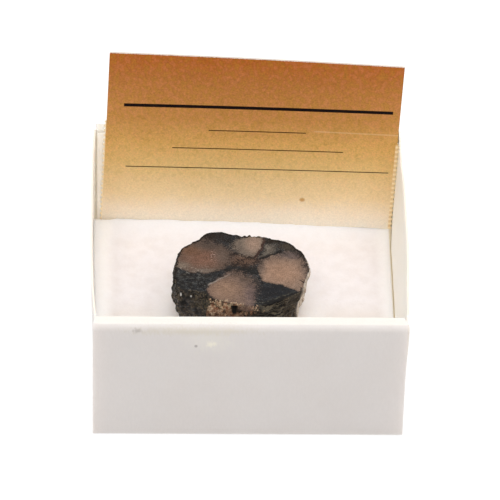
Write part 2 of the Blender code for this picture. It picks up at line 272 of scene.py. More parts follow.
# Each wall: its side of the tray, its foot, its rim's inner face and its flap's foot
FRONT = (-1, FRONT_FOOT, FRONT_RIM_INSIDE, FRONT_FLAP_FOOT)
BACK = (1, BACK_FOOT, BACK_RIM_INSIDE, BACK_FLAP_FOOT)
for hand, foot, rim_inside, flap_foot in (FRONT, BACK):
    fold_y = foot - fold_inset
    pick(strip, lambda place: hand * place.y > fold_y - TINY)
    foot_axis = (0.0, hand * fold_y, HALF_CARD + FOOT_FOLD)
    turn = {"angle": -hand * RIGHT_ANGLE, "axis": (1.0, 0.0, 0.0)}
    bpy.ops.mesh.spin(steps=4, center=foot_axis, **turn)
    draw_out(hand * (tray_high.y - foot), roll_z - foot_axis[2], WALL_STEPS)
    bpy.ops.mesh.spin(steps=10, center=(0.0, hand * outer_y, roll_z), **turn)
    inner_y = rim_inside + HALF_CARD + RIM_INNER_FOLD
    draw_out(hand * (inner_y - outer_y), 0.0, 2)
    bpy.ops.mesh.spin(steps=6, center=(0.0, hand * inner_y, rim_z - RIM_INNER_FOLD), **turn)
    flap_drop = FLAP_FOOT_HEIGHT - (rim_z - RIM_INNER_FOLD)
    draw_out(hand * (flap_foot - rim_inside - HALF_CARD), flap_drop, WALL_STEPS)
bpy.ops.mesh.select_all(action="SELECT")
bpy.ops.mesh.remove_doubles(threshold=TINY / 10)
bpy.ops.mesh.normals_make_consistent(inside=False)
bpy.ops.object.mode_set(mode="OBJECT")
for vertex in strip.data.vertices:
    place = vertex.co
    outside = abs(place.y) > BACK_FOOT - fold_inset and place.z < roll_z + TINY
    if not outside and place.z > CARD_THICK:
        along_roll = (outer_y + RIM_OUTER_FOLD - abs(place.y)) / (outer_y - BACK_RIM_INSIDE)
        trim = FLAP_TRIMS[0] if place.x < 0.0 else FLAP_TRIMS[1]
        place.x *= 1.0 - trim * ease(along_roll) / (TRAY_WIDTH / 2)
    if place.x > 0.0:
        flare = FRONT_FLARE * ease(place.z / TRAY_TOP * 2 - 1)
        flare *= ease((-FLARE_FROM - place.y) / MM)
        place.x *= 1.0 + flare / (TRAY_WIDTH / 2)
thicken(strip, CARD_THICK, CUT_EDGE)


class Finish(Nodes):
    """A Principled material, made of nodes that read places in millimetres."""

    def __init__(self, name, **constants):
        self.material = bpy.data.materials.new(name)
        super().__init__(self.material)
        self.shader = self.tree.nodes["Principled BSDF"]
        for socket, value in constants.items():
            self.shader.inputs[socket.replace("_", " ")].default_value = value
        place = self.node("ShaderNodeTexCoord", {}, {}, "Object")
        scaled = {0: place, "Scale": 1 / MM}
        self.place = self.node("ShaderNodeVectorMath", {"operation": "SCALE"}, scaled)
        apart = self.node("ShaderNodeSeparateXYZ", {}, {0: self.place}, None)
        self.x, self.y, self.z = (Value(self, socket) for socket in apart.outputs)

    def noise(self, per_mm, detail=2.0, place=None, roughness=0.5):
        """Return noise of about 0.3 to 0.7, with this many lumps per millimetre."""
        sockets = {"Vector": place or self.place, "Scale": per_mm, "Detail": detail}
        sockets["Roughness"] = roughness
        return self.node("ShaderNodeTexNoise", {}, sockets)

    def drawn(self, x, y, z):
        """Return the place with each axis stretched by its own factor."""
        settings = {"operation": "MULTIPLY"}
        return self.node("ShaderNodeVectorMath", settings, {0: self.place, 1: (x, y, z)})

    def between(self, value, low, high):
        """Return 0 below low and 1 above high, with an even ease between."""
        sockets = {"Value": value, "From Min": low, "From Max": high}
        settings = {"interpolation_type": "SMOOTHSTEP"}
        return self.node("ShaderNodeMapRange", settings, sockets)

    def spot(self, centre, reach, edge=0.5, wobble=0.0, across=None):
        """Return 1 in an oval spot of a plane and 0 outside it. Sizes are in millimetres."""
        along_x, along_y = across or (self.x, self.y)
        away = ((along_x - centre[0]) / reach[0]) ** 2 + ((along_y - centre[1]) / reach[1]) ** 2
        return 1 - self.between(away ** 0.5 + wobble, 1 - edge, 1 + edge)

    def mix(self, share, first, second):
        """Return a blend of two colours."""
        sockets = {0: share, 6: first, 7: second}
        return self.node("ShaderNodeMix", {"data_type": "RGBA"}, sockets, 2)

    def over(self, colour, *layers):
        """Lay colours over a colour, each by its own share."""
        for share, layer in layers:
            colour = self.mix(share, colour, layer)
        return colour

    def shade(self, colour, strength):
        """Return a colour made lighter or darker by a number."""
        settings = {"operation": "SCALE"}
        return self.node("ShaderNodeVectorMath", settings, {0: colour, "Scale": strength})

    def feed(self, socket, value):
        """Link a value or colour to one of the shader's sockets."""
        self.tree.links.new(value.socket, self.shader.inputs[socket])

    def bump(self, height, depth):
        """Raise the surface in its shading by a height of 0 to 1 times a depth."""
        self.feed("Normal", self.node("ShaderNodeBump", {}, {"Height": height, "Distance": depth}))


def paint(red, green, blue):
    """Return the linear colour for sRGB values of 0 to 255."""
    linear = [((value / 255 + 0.055) / 1.055) ** 2.4 for value in (red, green, blue)]
    return (*linear, 1.0)


LINER_WHITE = paint(254, 249, 241)
LINER_SHADE = paint(252, 246, 237)
# Painted shade: the outer faces are given these greyer whites
OUTSIDE_SHADED_WHITE = paint(215, 209, 206)
OUTSIDE_SHADED_GREY = paint(210, 203, 199)
BOARD_GREY = paint(205, 192, 172)
SMUDGE_GREY = paint(170, 162, 158)
SCUFF_CREAM = paint(240, 233, 215)
CORNER_RIM_SHADE = paint(206, 198, 184)
CORNER_PAINTED_GLOW = paint(106, 96, 82)
NO_GLOW = paint(0, 0, 0)
SIDE_RIM_CREAM = paint(226, 215, 202)
FOOT_TAN_AND_BOUNCE_LIGHT = paint(238, 220, 176)
SLIT_SHADOW_TAN = paint(176, 146, 100)
SCATTER = (1.0, 0.95, 0.9)
card = Finish("white_card", Roughness=0.55, Specular_IOR_Level=0.3, Emission_Strength=1.0,
              Subsurface_Weight=0.8, Subsurface_Scale=1.0 * MM, Subsurface_Radius=SCATTER)
fibres = card.noise(4.0, 4.0, card.drawn(1.0, 1.0, 0.4))
clouds = card.noise(0.16, 3.0)
facing = card.node("ShaderNodeTexCoord", {}, {}, "Normal")
# The outer faces are painted in shade, with greyer whites than the inside
outside = card.between(card.dot(facing, card.drawn(1.0, 1.0, 0.0)), 0.2, 9.0)
lined = card.mix(clouds, LINER_SHADE, LINER_WHITE)
painted_shade_outside = card.mix(clouds, OUTSIDE_SHADED_GREY, OUTSIDE_SHADED_WHITE)
at_side_edge = card.between(abs(card.x), 19.97, 19.995)
at_side_edge = at_side_edge * card.between(abs(card.y), 19.2, 19.5)
on_rim = card.between(card.z, 18.5, 18.75)
in_corner = 1 - card.between(card.x, -18.6, -18.0)
in_corner = in_corner * card.between(card.y, 17.0, 17.6) * (1 - outside)
at_right = card.between(card.x, 18.8, 19.2) * (1 - on_rim) * (1 - outside)
by_pad = at_right * (1 - card.between(card.z, 4.8, 5.6))
label_bounce_light = at_right * card.between(card.y, 14.5, 16.0)
shade_behind_label = at_right * card.between(card.y, 17.0, 17.4)
side_rim = card.between(abs(card.x), 19.0, 19.3)
side_rim = side_rim * card.between(card.z, 18.6, 18.65)
side_rim = side_rim * (1 - card.between(abs(card.y), 17.8, 18.2))
card_colour = card.over(
    card.mix(outside, lined, painted_shade_outside),
    (at_side_edge * 0.3, BOARD_GREY),
    # painted shade on the back rim's left end, behind the label
    (in_corner * on_rim * 0.8, CORNER_RIM_SHADE),
    (by_pad * 0.5, FOOT_TAN_AND_BOUNCE_LIGHT),
    # painted light: warm light thrown from the label onto the right wall
    (label_bounce_light * 0.5, FOOT_TAN_AND_BOUNCE_LIGHT),
    # painted shadow in the slit behind the label's right edge
    (shade_behind_label * 0.7, SLIT_SHADOW_TAN),
    (side_rim * 0.8, SIDE_RIM_CREAM),
)
on_front = card.between(0 - card.y, 19.5, 20.0)
face = (card.x, card.z)
ragged = (fibres - 0.5) * 3.0
# The wear and painted shade on the front: middle and reach in x and z, softness, wobble, colour
# and strength
FRONT_WEAR_AND_SHADE = (
    ((-5.0, 16.5), (2.4, 1.4), 0.9, ragged, paint(232, 226, 212), 0.3),
    # painted shade: a long darker band just under the rim
    ((-7.2, 18.2), (6.2, 0.5), 0.9, ragged, paint(206, 196, 174), 0.4),
    ((-4.9, 16.1), (0.42, 0.42), 0.9, ragged, SCUFF_CREAM, 0.7),
    ((-6.86, 15.71), (0.2, 0.22), 0.4, 0.0, SMUDGE_GREY, 1.0),
    ((-14.4, 18.3), (0.5, 0.25), 0.8, ragged, SMUDGE_GREY, 0.6),
)
for centre, reach, softness, wobble, tint, strength in FRONT_WEAR_AND_SHADE:
    mark = on_front * card.spot(centre, reach, softness, wobble, face) * strength
    card_colour = card.mix(mark, card_colour, tint)
# Painted shade: the front rim's top and inner face are made darker
front_rim_shade = card.between(0 - card.y, 18.0, 18.3) * (1 - outside)
card_colour = card.shade(card_colour, 0.97 + fibres * 0.06 - front_rim_shade * 0.24)
card.feed("Base Color", card_colour)
# The back left corner is a single card thick there, and its inside gets a painted glow, an
# emission standing in for the light that comes through it
painted_glow = card.shade(card.mix(on_rim, CORNER_PAINTED_GLOW, NO_GLOW), in_corner)
card.feed("Emission Color", painted_glow)
card.bump(fibres, 0.02 * MM)
strip.data.materials.append(card.material)
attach(strip, "root")
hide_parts("tray")


# The tray's side walls: each is a single thickness of the same card, folded at both ends
# into an ear that is tucked into the rolled wall. They lean and bow out a little.
SIDE_CARD = 0.26 * MM
SIDE_HEIGHT = 18.7 * MM
SIDE_ROOT = 0.2 * MM
CORNER_FOLD = 0.45 * MM
EAR_FOOT = 19.04 * MM  # y of the ears at the floor, and at the rim
EAR_TOP = 19.58 * MM
EAR_REACH = 10.0 * MM
EAR_LOW = 0.8 * MM  # z of the ears' lower and upper edges
EAR_HIGH = 18.15 * MM
SIDE_X = 20.0 * MM  # outer face before the lean
SIDE_SCATTER = 0.3 * MM  # the side card lets little light through
LEAN_RISE = 1.5  # power: the lean grows from nothing at the floor
# Each line gives y and how far out the wall's outer face is there, in millimetres. The label
# holds the walls apart at the back.
LEFT_FOOT = (
    (-19.5, 19.82), (-8.0, 20.08), (-1.5, 20.22), (8.7, 20.46), (16.0, 20.55), (19.5, 20.35),
)
LEFT_RIM = (
    (-19.2, 19.72), (-15.8, 19.98), (-12.0, 20.2), (-6.0, 20.4), (0.0, 20.48), (11.0, 20.45),
    (15.0, 20.4), (19.5, 20.2),
)
RIGHT_FOOT = ((-19.5, 19.75), (-10.0, 19.62), (11.0, 19.62), (15.0, 19.87), (17.0, 19.98))
RIGHT_RIM = (
    (-19.5, 20.0), (-16.0, 20.35), (-12.0, 20.42), (-8.0, 20.62), (-4.0, 20.74), (2.0, 20.74),
    (8.0, 20.72), (12.0, 20.5), (16.0, 20.5), (19.5, 20.6),
)
side_fold_y = EAR_FOOT - CORNER_FOLD
SIDES = (("left", -1, (LEFT_FOOT, LEFT_RIM)), ("right", 1, (RIGHT_FOOT, RIGHT_RIM)))
mid_card_x = SIDE_X - SIDE_CARD / 2


def wall_reach(lines, place):
    """Return how far out a side wall's outer face is at the y and z of a place."""
    foot, rim = (np.interp(place.y / MM, *zip(*line)) * MM for line in lines)
    return foot + (rim - foot) * max(place.z / TRAY_TOP, 0.0) ** LEAN_RISE


side_card = card.material.copy()
side_card.name = "white_side_card"
side_shader = side_card.node_tree.nodes["Principled BSDF"]
side_shader.inputs["Subsurface Scale"].default_value = SIDE_SCATTER
for name, hand, lines in SIDES:
    turned = (0.0, RIGHT_ANGLE, 0.0)
    middle = (hand * mid_card_x, 0.0, (SIDE_ROOT + SIDE_HEIGHT) / 2)
    columns = {"x_subdivisions": WALL_STEPS, "y_subdivisions": TRAY_COLUMNS}
    bpy.ops.mesh.primitive_grid_add(size=1.0, location=middle, rotation=turned, **columns)
    side = bpy.context.object
    side.name = f"tray_side_{name}"
    side.scale = (SIDE_HEIGHT - SIDE_ROOT, 2 * side_fold_y, 1.0)
    bpy.ops.object.transform_apply(location=True, rotation=True, scale=True)
    edit(side)
    for end in (-1, 1):
        pick(side, lambda place: end * place.y > side_fold_y - TINY)
        corner = (hand * (mid_card_x - CORNER_FOLD), end * side_fold_y, 0.0)
        sweep = -hand * end * RIGHT_ANGLE
        bpy.ops.mesh.spin(steps=5, center=corner, angle=sweep, axis=(0.0, 0.0, 1.0))
        for _ in range(4):
            tuck = {"value": (-hand * EAR_REACH / 4, 0.0, 0.0)}
            bpy.ops.mesh.extrude_region_move(TRANSFORM_OT_translate=tuck)
    bpy.ops.mesh.select_all(action="SELECT")
    bpy.ops.mesh.remove_doubles(threshold=TINY / 10)
    bpy.ops.object.mode_set(mode="OBJECT")
    for vertex in side.data.vertices:
        place = vertex.co
        on_ear = ease((mid_card_x - abs(place.x)) / CORNER_FOLD)
        share = (place.z - SIDE_ROOT) / (SIDE_HEIGHT - SIDE_ROOT)
        ear_z = EAR_LOW + (EAR_HIGH - EAR_LOW) * share
        place.z += (ear_z - place.z) * on_ear
        place.x += hand * (wall_reach(lines, place) - SIDE_X)
        place.y *= 1.0 + (EAR_TOP / EAR_FOOT - 1.0) * place.z / TRAY_TOP
    thicken(side, SIDE_CARD, CUT_EDGE)
    side.data.materials.append(side_card)
    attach(side, "root")
    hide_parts("tray")


# The pad: a slab of soft white foam cut a little askew, which fills the floor of the tray.
# It gives a little under the stone, and its cut edges press against the walls.
PAD_GRAIN = 0.26 * MM
PAD_RELIEF = 4.0 * MM  # the swells of its top begin at this height
PAD_SWELLS = ((0.13, 0.14), (0.5, 0.04))  # lumps per millimetre, and their height
PAD_BACK = 9.0 * MM  # its back part begins at this y
PAD_BACK_REACH = 0.46 * MM  # its back edge is this far past the solid's, near the label
PAD_BACK_RISE = 0.25 * MM  # its back is highest behind the stone
PAD_LEFT_RISE = 0.05 * MM  # and a little higher at the left than at the right
PAD_LEFT_DIP = 0.25 * MM  # the back edge falls short by this at its left end
PAD_CORNER = 0.28 * MM  # and stands out by this at its right end
PAD_SQUEEZE = 0.5 * MM  # it is this much too wide each way, so its sides are pressed flat
PAD_CLEAR = 0.03 * MM  # between it and the side walls
PAD_WAVE = 0.09  # how much its cut back edge wavers
SEAT_REACH = 0.75  # the pad meets the stone's foot out to this share of the stone's reach
SEAT_FADE = 0.6
SEAT_CLEAR = 0.02 * MM
PAD_WHITE = paint(237, 234, 236)
PAD_SHADE = paint(232, 228, 229)
PAD_BACK_COOLED_WHITE = paint(239, 240, 246)
PAD_PAINTED_LIGHT = paint(252, 251, 252)
PAD_FRONT_SHADE = paint(222, 215, 208)
PAD_OLIVE = paint(232, 216, 180)
GAP = 0.3 * MM
stone_low, stone_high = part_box("chiastolite")


def copy_of(node, name, grain):
    """Return a merged copy of a CAD node as a new piece, remeshed to an even fine grain."""
    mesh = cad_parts[node].data.copy()
    mesh.materials.clear()
    piece = bpy.data.objects.new(name, mesh)
    bpy.context.scene.collection.objects.link(piece)
    edit(piece)
    bpy.ops.mesh.select_all(action="SELECT")
    bpy.ops.mesh.remove_doubles(threshold=TINY / 10)
    bpy.ops.object.mode_set(mode="OBJECT")
    fine = piece.modifiers.new("fine", "REMESH")
    fine.mode = "VOXEL"
    fine.voxel_size = grain
    fine.use_smooth_shade = True
    bpy.ops.object.modifier_apply(modifier=fine.name)
    return piece


pad = copy_of("foam_pad", "pad", PAD_GRAIN)
pad_low, pad_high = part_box("foam_pad")
stone_middle = (stone_low + stone_high) / 2
stone_reach = (stone_high - stone_low) / 2
for vertex in pad.data.vertices:
    place = vertex.co
    top = ease((place.z - PAD_RELIEF) / (0.6 * MM))
    swell = sum(noise.noise(place / MM * lumps) * height for lumps, height in PAD_SWELLS)
    away = Vector(((place.x - stone_middle.x) / stone_reach.x,
                   (place.y - stone_middle.y) / stone_reach.y)).length
    seated = 1.0 - ease((away - SEAT_REACH) / SEAT_FADE)
    place.z += top * (swell * (1.0 - seated) * MM + seated * (GAP - SEAT_CLEAR))
    to_right = (place.x - pad_low.x) / (pad_high.x - pad_low.x)
    left_end = SIDE_CARD + PAD_CLEAR - wall_reach((LEFT_FOOT, LEFT_RIM), place)
    right_end = wall_reach((RIGHT_FOOT, RIGHT_RIM), place) - SIDE_CARD - PAD_CLEAR
    place.x = left_end + (right_end - left_end) * to_right + PAD_SQUEEZE * (to_right * 2 - 1)
    place.x = min(max(place.x, left_end), right_end)
    back = ease((place.y - PAD_BACK) / (6.0 * MM))
    wave = noise.noise(Vector((place.x / MM * 0.55, 3.0, 0.0))) * PAD_WAVE * MM
    dip = PAD_LEFT_DIP * ease((-17.0 * MM - place.x) / (1.2 * MM))
    place.y += back * (PAD_BACK_REACH + wave - dip)
    hump = PAD_BACK_RISE * math.sin(math.pi * to_right) ** 2
    place.z += top * back * (hump + PAD_LEFT_RISE * (1.0 - to_right))
    corner = ease((to_right - 0.96) / 0.04) * ease((place.y - 14.0 * MM) / (1.2 * MM))
    place.y += corner * PAD_CORNER
foam = Finish("white_foam", Roughness=0.9, Specular_IOR_Level=0.2, Subsurface_Weight=0.7,
              Subsurface_Scale=2.0 * MM, Subsurface_Radius=SCATTER)
cells = foam.noise(3.2, 3.0)
tufts = foam.noise(0.6, 4.0)
beside = (stone_reach.x / MM + 1.8, stone_reach.y / MM + 1.8)
painted_light_by_stone = foam.spot((stone_middle.x / MM, stone_middle.y / MM), beside, 0.14)
pad_colour = foam.over(
    foam.mix(foam.between(tufts, 0.3, 0.7), PAD_SHADE, PAD_WHITE),
    # the back of the pad is painted a bluer white to cancel the warm light the label throws on it
    (foam.between(foam.y, 11.0, 16.5) * 0.8, PAD_BACK_COOLED_WHITE),
    # painted shade over the front of the pad, below the front wall
    (foam.between(0 - foam.y, -1.5, 3.0) * 0.6, PAD_FRONT_SHADE),
    # painted light round the stone, against the stone's shadow on the pad
    (painted_light_by_stone * 0.5, PAD_PAINTED_LIGHT),
    # painted light along the sides, against the walls' shade
    (foam.between(abs(foam.x), 17.0, 19.4), PAD_PAINTED_LIGHT),
    (foam.between(foam.x, 19.2, 19.4) * 0.8, PAD_OLIVE),
)
pad_colour = foam.shade(pad_colour, 0.97 + cells * 0.06)
foam.feed("Base Color", pad_colour)
foam.bump(cells, 0.06 * MM)
pad.data.materials.append(foam.material)
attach(pad, "root")
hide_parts("foam_pad")


# The label: a small printed card that stands behind the pad and leans on the back rim. The
# print fades from brown at the top to cream, with one heavy rule and three fine ones. Its
# paper is white, and its sides were torn along fine perforations.
LABEL_CARD = 0.26 * MM
LABEL_FOOT_LEFT = Vector((-19.27, 17.25, 0.75)) * MM
LABEL_FOOT_RIGHT = Vector((19.22, 15.6, 0.75)) * MM
LABEL_TOP_LEFT = Vector((-18.13, 19.3, 31.9)) * MM
LABEL_TOP_RIGHT = Vector((20.58, 17.95, 30.8)) * MM
LABEL_WIDTH = 38.3  # in millimetres, as the print's own sizes below
LABEL_HEIGHT = 31.2
LABEL_COLUMNS = 24
LABEL_CURL = 0.2 * MM  # the middle of its top edge bends this far back
LABEL_REST = 0.58  # share of its height at which it leans on the rim
LABEL_BEND = 0.2 * MM  # and bends this far forward
NIB_PITCH = 0.76
NIB_STEPS = 4  # rows of the mesh to each nib
NIB_REACH = 0.3  # how far the torn nibs stand out from the print
NIB_ROOT = 0.12  # and how far the paper does between them
NIB_TOPS = (20.3, 18.5)  # they are there below these heights, at the left and right
label_rows = NIB_STEPS * round(LABEL_HEIGHT / NIB_PITCH)
bpy.ops.mesh.primitive_grid_add(x_subdivisions=LABEL_COLUMNS, y_subdivisions=label_rows, size=1.0)
label = bpy.context.object
label.name = "label"
across = (LABEL_FOOT_RIGHT - LABEL_FOOT_LEFT).normalized()
upwards = (LABEL_TOP_LEFT - LABEL_FOOT_LEFT).normalized()
backwards = upwards.cross(across)
sheet_places = []
for vertex in label.data.vertices:
    side = vertex.co.x * 2.0
    up = vertex.co.y + 0.5
    row = round(up * label_rows)
    nib_top = NIB_TOPS[0] if side < 0.0 else NIB_TOPS[1]
    share = vertex.co.x + 0.5
    if abs(side) > 0.999 and up * LABEL_HEIGHT < nib_top:
        share += side * (NIB_REACH if row % NIB_STEPS > 1 else NIB_ROOT) / LABEL_WIDTH
    left = LABEL_FOOT_LEFT.lerp(LABEL_TOP_LEFT, up)
    right = LABEL_FOOT_RIGHT.lerp(LABEL_TOP_RIGHT, up)
    bend = LABEL_BEND * min(up / LABEL_REST, (1.0 - up) / (1.0 - LABEL_REST))
    back = LABEL_CURL * math.sin(math.pi * share) * up - bend
    vertex.co = left + (right - left) * share + backwards * back
    sheet_places.append((share, up))
for loop in label.data.loops:
    label.data.uv_layers[0].data[loop.index].uv = sheet_places[loop.vertex_index]
solid = label.modifiers.new("thickness", "SOLIDIFY")
solid.thickness = LABEL_CARD
solid.offset = 0.0
bpy.ops.object.modifier_apply(modifier=solid.name)
bpy.ops.object.shade_smooth_by_angle(angle=SMOOTH_ANGLE)

PRINT_FADE = (
    (0.12, paint(247, 237, 219)),
    (0.20, paint(249, 230, 202)),
    (0.28, paint(242, 214, 167)),
    (0.44, paint(227, 190, 125)),
    (0.56, paint(220, 171, 99)),
    (0.68, paint(195, 138, 75)),
    (0.88, paint(176, 111, 54)),
    (1.00, paint(170, 92, 32)),
)
PAPER_WHITE = paint(244, 240, 232)
NIB_CREAM = paint(254, 232, 192)
NIB_SHADE = paint(238, 208, 158)
PAPER_CREAM = paint(236, 208, 160)
PRINT_BLACK = paint(18, 5, 2)
PRINT_ROSE = paint(198, 122, 92)
PRINT_OCHRE = paint(204, 156, 52)
STAIN_BROWN = paint(190, 138, 66)
PRINT_TILT = 0.018  # the print is this much askew on its card
# Each rule: from and to, height above the foot at its left end, and half thickness
RULES = (
    (2.15, 37.37, 22.91, 0.25),
    (13.4, 26.21, 19.36, 0.07),
    (8.76, 31.29, 16.33, 0.07),
    (2.77, 37.47, 12.99, 0.07),
)
paper = Finish("tan_paper", Roughness=0.6, Specular_IOR_Level=0.1)
sheet_place = paper.node("ShaderNodeUVMap", {"uv_map": "UVMap"}, {})
apart = paper.node("ShaderNodeSeparateXYZ", {}, {0: sheet_place}, None)
u = Value(paper, apart.outputs[0]) * LABEL_WIDTH
v = Value(paper, apart.outputs[1]) * LABEL_HEIGHT
speckle = paper.noise(4.2, 3.0, roughness=0.7)
blotches = paper.noise(1.6, 3.0, paper.drawn(1.0, 1.0, 0.8))
patches = paper.noise(0.35, 3.0)
askew = v - u * PRINT_TILT
level = askew / LABEL_HEIGHT + 0.01 + (patches - 0.5) * 0.05 + (speckle - 0.5) * 0.04
ink = paper.node("ShaderNodeValToRGB", {"stops": PRINT_FADE}, {0: level})
inked = paper.between(level, 0.1, 0.8)  # how much ink there is
ink = paper.mix(paper.between(blotches, 0.5, 0.62) * (0.04 + inked * 0.14), ink, PRINT_ROSE)
ink = paper.mix(paper.between(blotches, 0.5, 0.38) * inked * 0.18, ink, PRINT_OCHRE)
unevenness = (speckle - 0.5) * (0.4 + inked * 0.7) + (blotches - 0.5) * (0.1 + inked * 0.4)
ink = paper.shade(ink, 1.0 + unevenness)
for start, end, height, half in RULES:
    off_rule = abs(askew - (height - start * PRINT_TILT))
    level_with = 1 - paper.between(off_rule, half - 0.03, half + 0.03)
    within = paper.between(u, start, start + 0.05) * (1 - paper.between(u, end - 0.05, end))
    ink = paper.mix(level_with * within, ink, PRINT_BLACK)
creased = paper.between(u, 27.0, 27.6) * (1 - paper.between(abs(v - 19.93), 0.04, 0.16))
stain = paper.spot((26.4, 8.5), (0.35, 0.3), 0.5, across=(u, v))
margin_top = paper.between(v + (speckle - 0.5) * 0.2, LABEL_HEIGHT - 0.24, LABEL_HEIGHT - 0.16)
margin_left = 1 - paper.between(u + (speckle - 0.5) * 0.2, -0.08, 0.02)
# Between the nibs of the torn right margin the paper is painted darker, as painted shade
along_nib = abs(v.math("FRACT", v / NIB_PITCH, 0.0) - 0.625)
shaded_between_nibs = paper.between(along_nib, 0.14, 0.3)
torn = 1 - paper.between(v, NIB_TOPS[1] - 0.3, NIB_TOPS[1])
margin_right = paper.between(u, LABEL_WIDTH - 0.3, LABEL_WIDTH - 0.14) * torn
ink = paper.over(
    ink,
    (creased * 0.3, PAPER_CREAM),
    (stain * 0.8, STAIN_BROWN),
    (margin_left, NIB_CREAM),
    (margin_right, paper.mix(shaded_between_nibs, NIB_CREAM, NIB_SHADE)),
    (margin_top * 0.8, PAPER_WHITE),
)
facing = paper.node("ShaderNodeTexCoord", {}, {}, "Normal")
printed = paper.between(paper.dot(facing, -backwards), 0.6, 0.9)
paper.feed("Base Color", paper.mix(printed, PAPER_WHITE, ink))
paper.bump(speckle, 0.015 * MM)
label.data.materials.append(paper.material)
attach(label, "root")
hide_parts("label_card")


# The stone: a slice sawn across a chiastolite prism. Four pale lobes of andalusite are parted
# by a cross of dark carbon, and a rusty crust of slate still clings to the front. The top is a
# flat cut, and the flank and underside are as they broke.
STONE_GRAIN = 0.135 * MM
stone = copy_of("chiastolite", "stone", STONE_GRAIN)
TOP_Z = stone_high.z / MM
FOOT_Z = stone_low.z / MM
HUB = np.array((-0.8, -1.2))
# Outlines on the cut face, in millimetres from the middle of the tray
LEFT_LOBE = (
    (-9.6, -0.8), (-9.5, 0.8), (-9.2, 2.0), (-8.6, 3.2), (-7.4, 4.0), (-6.3, 4.55), (-5.4, 4.6),
    (-4.4, 4.2), (-3.4, 3.5), (-2.5, 2.9), (-2.1, 2.0), (-2.1, 1.0), (-2.5, -0.3), (-3.2, -1.1),
    (-4.4, -1.8), (-5.6, -2.1), (-7.2, -1.9), (-8.4, -1.4), (-9.1, -0.9),
)
TOP_LOBE = (
    (-1.8, 3.7), (-1.6, 2.7), (-1.0, 1.9), (0.0, 1.4), (1.0, 1.25), (1.45, 1.8), (2.0, 3.1),
    (2.3, 4.2), (2.35, 5.4), (0.6, 5.9), (-0.3, 5.2), (-1.3, 4.8),
)
RIGHT_LOBE = (
    (1.45, -0.5), (1.9, 0.4), (2.8, 1.1), (4.0, 1.8), (5.2, 2.2), (6.4, 2.1), (7.3, 1.2),
    (7.8, -0.2), (8.0, -2.2), (7.8, -4.0), (7.1, -5.7), (5.8, -5.1), (4.1, -4.25),
    (2.6, -3.85), (1.9, -3.5), (1.5, -2.2),
)
BOTTOM_LOBE = (
    (-5.25, -5.3), (-5.15, -6.4), (-4.5, -7.3), (-3.5, -7.9), (-1.8, -8.5), (0.6, -9.0),
    (1.05, -7.6), (0.85, -6.6), (1.15, -5.3), (1.2, -4.3), (0.8, -3.3), (0.0, -2.5),
    (-0.8, -2.0), (-1.7, -1.9), (-2.6, -2.25), (-3.7, -3.1), (-4.5, -3.8), (-5.0, -4.5),
)
SLIVER = ((1.8, 1.3), (2.2, 2.6), (2.6, 3.8), (3.5, 3.7), (3.8, 3.0), (3.5, 2.3), (2.7, 1.6))
CRACK = ((2.35, 5.3), (2.25, 4.1), (2.0, 3.1), (1.5, 2.0), (1.05, 1.1))
SEAM = ((1.7, 0.9), (2.6, 1.35), (3.6, 1.95), (4.4, 2.5))
PALE_VEIN = ((-5.0, -4.4), (-4.4, -3.75), (-3.2, -2.85), (-2.3, -2.3))
# Each lobe: its outline, how soft its edge is where it is sharp and where it is soft, and the
# bearing of its soft side in degrees
LOBE_EDGES = {
    "left": (LEFT_LOBE, 0.17, 0.60, 40.0),
    "top": (TOP_LOBE, 0.14, 0.50, 215.0),
    "right": (RIGHT_LOBE, 0.13, 0.60, 75.0),
    "bottom": (BOTTOM_LOBE, 0.17, 0.65, 50.0),
    "sliver": (SLIVER, 0.28, 0.60, 0.0),
}
# The rim of the cut face, from the right round the back to the left
RIM = (
    (8.1, -1.8), (8.15, -1.0), (7.95, 0.25), (7.6, 1.45), (7.1, 2.55), (6.55, 3.0), (6.3, 3.35),
    (5.7, 4.05), (5.05, 4.5), (4.05, 4.8), (3.3, 5.0), (2.7, 5.25), (2.0, 5.45), (1.0, 5.5),
    (0.7, 5.55), (0.4, 5.8), (0.0, 5.5), (-0.6, 5.45), (-1.1, 5.75), (-1.9, 5.8), (-2.4, 5.95),
    (-3.0, 6.28), (-4.0, 6.4), (-5.0, 6.15), (-5.55, 5.8), (-6.0, 5.35), (-6.2, 4.8), (-6.6, 4.6),
    (-7.1, 4.3), (-7.55, 3.8), (-8.05, 3.4), (-8.55, 3.0), (-8.95, 2.0), (-9.2, 1.0),
    (-9.4, -0.2), (-9.5, -1.5), (-9.7, -3.0),
)
RIM_INSET = 0.1  # the flank's relief stands out this much beyond the rim
RIM_START = -10.0  # bearing from which the rim is counted, just before its first point
RIM_REACH = 1.0
# Stretches of the flank: the bearing of each one's middle, and its reach, in degrees
SLIM_WAY = (342.0, 46.0)
BROKEN_BACK = (78.0, 46.0)
BROKEN_FRONT = (218.0, 42.0)
EVEN_SIDE = (345.0, 34.0)
SLIM_DEPTH = 0.35  # how far it falls in along its slim stretch
# The relief of the broken faces: how fine each kind is, and how high it stands
TEETH = ((2.6, 1.0), (5.2, 0.7))
TOOTH_SIZE = 0.2
RIDGES = Vector((2.1, 2.1, 0.8))
RIDGE_HEIGHT = 0.18
GRIT = 4.5
GRIT_HEIGHT = 0.10
CHUNKS = 1.2
CHUNKS_FROM = Vector((5.0, 2.0, 7.0))
CHUNK_HEIGHT = 0.16
RELIEF_SINK = 0.07
NOTCH = Vector((-1.75, -8.2, 11.3))
NOTCH_REACH = 0.55
NOTCH_DEPTH = 0.35
# How the outlines wander: lumps per millimetre, and how far
WANDERS = ((1.1, 0.24), (3.4, 0.12))
SECOND_WAY = Vector((31.4, 17.2, 5.8))  # how far off the second direction's noise is taken
# The looks of the flank: each one's middle and reach in degrees, and how sharply it ends
FLANK_FACES = {
    "rusty": (262.0, 38.0, 2.4),
    "shiny": (214.0, 30.0, 1.0),
    "striped": (302.0, 36.0, 1.0),
    "pale": (354.0, 24.0, 6.0),
}


